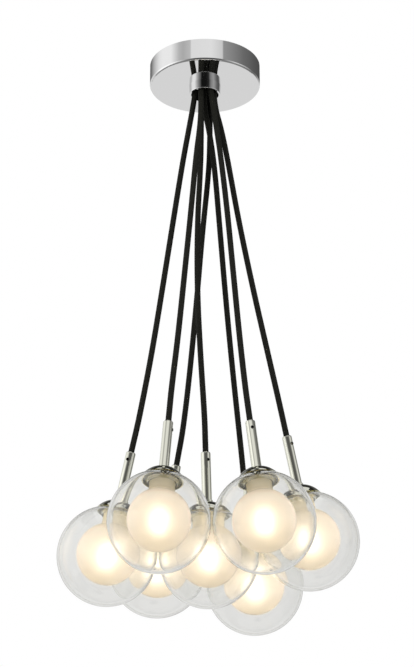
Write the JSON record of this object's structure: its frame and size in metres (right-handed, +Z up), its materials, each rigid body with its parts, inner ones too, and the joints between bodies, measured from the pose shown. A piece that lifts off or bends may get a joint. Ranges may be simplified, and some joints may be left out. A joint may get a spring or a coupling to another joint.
{
  "type": "cluster pendant light",
  "caption": "Cluster pendant ceiling light: round chrome canopy, black fabric cords, and clear glass globes with frosted globes inside.",
  "frame": {"origin": "middle of the face that meets the ceiling: the top of the ceiling bracket, level with the canopy's rim", "axes": "+Z up into the ceiling, +X to the right of the picture, +Y away from its camera"},
  "size_m": [0.3014, 0.2776, 0.6124],
  "materials": {
    "chrome": "polished chrome plate",
    "steel": "zinc plated",
    "brass": "plain",
    "black_plastic": "moulded",
    "white_nylon": "moulded",
    "ceramic": null,
    "fabric_cord": "black braided sleeve",
    "bulb_glass": "clear capsule, lit",
    "clear_glass": "clear blown glass",
    "frosted_glass": "acid-frosted glass"
  },
  "bodies": {
    "canopy": {"canopy_shell": "chrome", "cord_collar": "chrome", "collar_lock_ring": "steel", "cord_plate": "black_plastic", "cord_grips": "white_nylon", "terminal_block": "white_nylon", "ceiling_bracket": "steel", "bracket_nuts": "steel", "canopy_screws": "chrome", "earth_screw": "brass", "cord_centre": "fabric_cord", "stem_centre": "chrome", "cap_centre": "chrome", "lampholder_centre": "ceramic"},
    "pendant_left": {"cord_left": "fabric_cord", "stem_left": "chrome", "cap_left": "chrome", "lampholder_left": "ceramic"},
    "glass_left": {"outer_globe_left": "clear_glass", "inner_globe_left": "frosted_glass"},
    "lamp_left": {"bulb_left": "bulb_glass"},
    "pendant_front_left": {"cord_front_left": "fabric_cord", "stem_front_left": "chrome", "cap_front_left": "chrome", "lampholder_front_left": "ceramic"},
    "glass_front_left": {"outer_globe_front_left": "clear_glass", "inner_globe_front_left": "frosted_glass"},
    "lamp_front_left": {"bulb_front_left": "bulb_glass"},
    "pendant_front_right": {"cord_front_right": "fabric_cord", "stem_front_right": "chrome", "cap_front_right": "chrome", "lampholder_front_right": "ceramic"},
    "glass_front_right": {"outer_globe_front_right": "clear_glass", "inner_globe_front_right": "frosted_glass"},
    "lamp_front_right": {"bulb_front_right": "bulb_glass"},
    "pendant_right": {"cord_right": "fabric_cord", "stem_right": "chrome", "cap_right": "chrome", "lampholder_right": "ceramic"},
    "glass_right": {"outer_globe_right": "clear_glass", "inner_globe_right": "frosted_glass"},
    "lamp_right": {"bulb_right": "bulb_glass"},
    "pendant_back_right": {"cord_back_right": "fabric_cord", "stem_back_right": "chrome", "cap_back_right": "chrome", "lampholder_back_right": "ceramic"},
    "glass_back_right": {"outer_globe_back_right": "clear_glass", "inner_globe_back_right": "frosted_glass"},
    "lamp_back_right": {"bulb_back_right": "bulb_glass"},
    "pendant_back_left": {"cord_back_left": "fabric_cord", "stem_back_left": "chrome", "cap_back_left": "chrome", "lampholder_back_left": "ceramic"},
    "glass_back_left": {"outer_globe_back_left": "clear_glass", "inner_globe_back_left": "frosted_glass"},
    "lamp_back_left": {"bulb_back_left": "bulb_glass"},
    "glass_centre": {"outer_globe_centre": "clear_glass", "inner_globe_centre": "frosted_glass"},
    "lamp_centre": {"bulb_centre": "bulb_glass"}
  },
  "joints": [
    {"name": "swing_left", "type": "hinge", "parent": "canopy", "child": "pendant_left", "pos_m": [-0.01097, 0, -0.035], "axis": [-0.0314, 0.9995, 0], "range_deg": [0, 30], "deforming": ["cord_left"]},
    {"name": "globe_release_left", "type": "slide", "parent": "pendant_left", "child": "glass_left", "axis": [-0.2, -0.02, -0.9796], "range_m": [0, 0.07]},
    {"name": "bulb_pull_left", "type": "slide", "parent": "pendant_left", "child": "lamp_left", "axis": [-0.2, -0.02, -0.9796], "range_m": [0, 0.012]},
    {"name": "swing_front_left", "type": "hinge", "parent": "canopy", "child": "pendant_front_left", "pos_m": [-0.00443, -0.00876, -0.035], "axis": [-0.8813, 0.4726, 0], "range_deg": [0, 30], "deforming": ["cord_front_left"]},
    {"name": "globe_release_front_left", "type": "slide", "parent": "pendant_front_left", "child": "glass_front_left", "axis": [-0.071, -0.19, -0.9792], "range_m": [0, 0.07]},
    {"name": "bulb_pull_front_left", "type": "slide", "parent": "pendant_front_left", "child": "lamp_front_left", "axis": [-0.071, -0.19, -0.9792], "range_m": [0, 0.012]},
    {"name": "swing_front_right", "type": "hinge", "parent": "canopy", "child": "pendant_front_right", "pos_m": [0.00633, -0.00876, -0.035], "axis": [-0.8499, -0.527, 0], "range_deg": [0, 30], "deforming": ["cord_front_right"]},
    {"name": "globe_release_front_right", "type": "slide", "parent": "pendant_front_right", "child": "glass_front_right", "axis": [0.112, -0.16, -0.9807], "range_m": [0, 0.07]},
    {"name": "bulb_pull_front_right", "type": "slide", "parent": "pendant_front_right", "child": "lamp_front_right", "axis": [0.112, -0.16, -0.9807], "range_m": [0, 0.012]},
    {"name": "swing_right", "type": "hinge", "parent": "canopy", "child": "pendant_right", "pos_m": [0.01013, 0, -0.035], "axis": [0.0314, -0.9995, 0], "range_deg": [0, 30], "deforming": ["cord_right"]},
    {"name": "globe_release_right", "type": "slide", "parent": "pendant_right", "child": "glass_right", "axis": [0.194, 0.04, -0.9802], "range_m": [0, 0.07]},
    {"name": "bulb_pull_right", "type": "slide", "parent": "pendant_right", "child": "lamp_right", "axis": [0.194, 0.04, -0.9802], "range_m": [0, 0.012]},
    {"name": "swing_back_right", "type": "hinge", "parent": "canopy", "child": "pendant_back_right", "pos_m": [-0.00042, 0.00063, -0.035], "axis": [0.7071, -0.7071, 0], "range_deg": [0, 30], "deforming": ["cord_back_right"]},
    {"name": "globe_release_back_right", "type": "slide", "parent": "pendant_back_right", "child": "glass_back_right", "axis": [0.095, 0.165, -0.9817], "range_m": [0, 0.07]},
    {"name": "bulb_pull_back_right", "type": "slide", "parent": "pendant_back_right", "child": "lamp_back_right", "axis": [0.095, 0.165, -0.9817], "range_m": [0, 0.012]},
    {"name": "swing_back_left", "type": "hinge", "parent": "canopy", "child": "pendant_back_left", "pos_m": [0.00507, 0.00876, -0.035], "axis": [0.8499, 0.527, 0], "range_deg": [0, 30], "deforming": ["cord_back_left"]},
    {"name": "globe_release_back_left", "type": "slide", "parent": "pendant_back_left", "child": "glass_back_left", "axis": [-0.175, 0.14, -0.9746], "range_m": [0, 0.07]},
    {"name": "bulb_pull_back_left", "type": "slide", "parent": "pendant_back_left", "child": "lamp_back_left", "axis": [-0.175, 0.14, -0.9746], "range_m": [0, 0.012]},
    {"name": "globe_release_centre", "type": "slide", "parent": "canopy", "child": "glass_centre", "axis": [0.028, 0, -0.9996], "range_m": [0, 0.07]},
    {"name": "bulb_pull_centre", "type": "slide", "parent": "canopy", "child": "lamp_centre", "axis": [0.028, 0, -0.9996], "range_m": [0, 0.012]}
  ]
}
